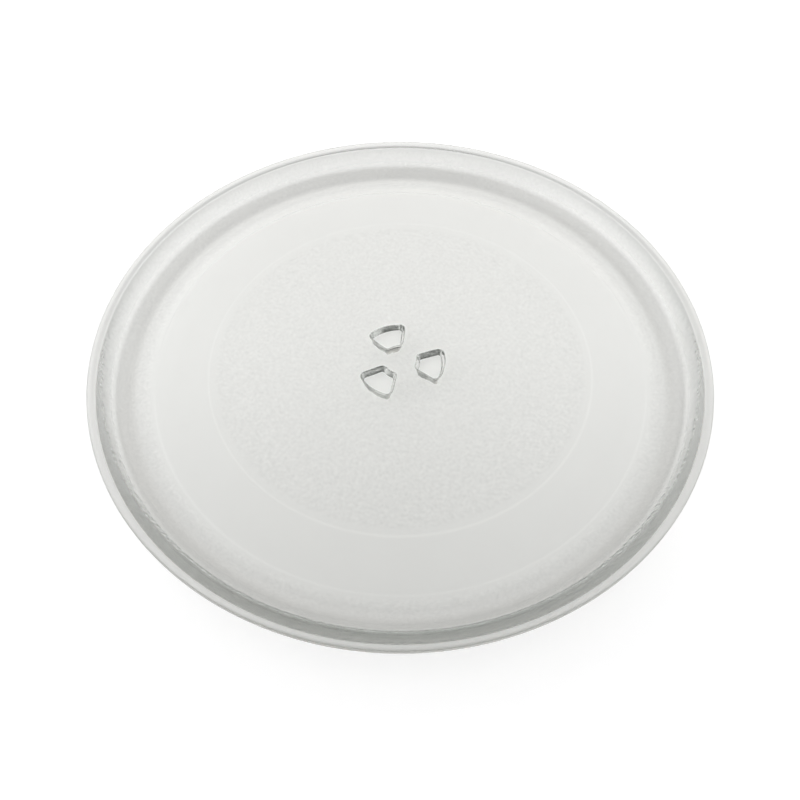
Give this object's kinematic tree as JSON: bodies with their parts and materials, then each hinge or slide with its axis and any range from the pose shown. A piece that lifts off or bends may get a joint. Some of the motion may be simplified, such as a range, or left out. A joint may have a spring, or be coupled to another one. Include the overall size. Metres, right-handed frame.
{
  "type": "microwave turntable plate",
  "caption": "Round dished plate of clear pressed glass with a raised rim, a smooth roller track and drive lugs underneath, for the turntable of a microwave oven.",
  "frame": {"origin": "on the plate's axis, in the plane of the lug tips that it stands on", "axes": "+Z along the plate's axis, up out of the dish; +X through the middle of one drive lug"},
  "size_m": [0.245, 0.245, 0.0215],
  "materials": {
    "pressed_glass": "clear and fire-polished, with fine stipple under the centre and on the outside of the wall"
  },
  "bodies": {
    "root": {"turntable_plate": "pressed_glass"}
  },
  "joints": []
}
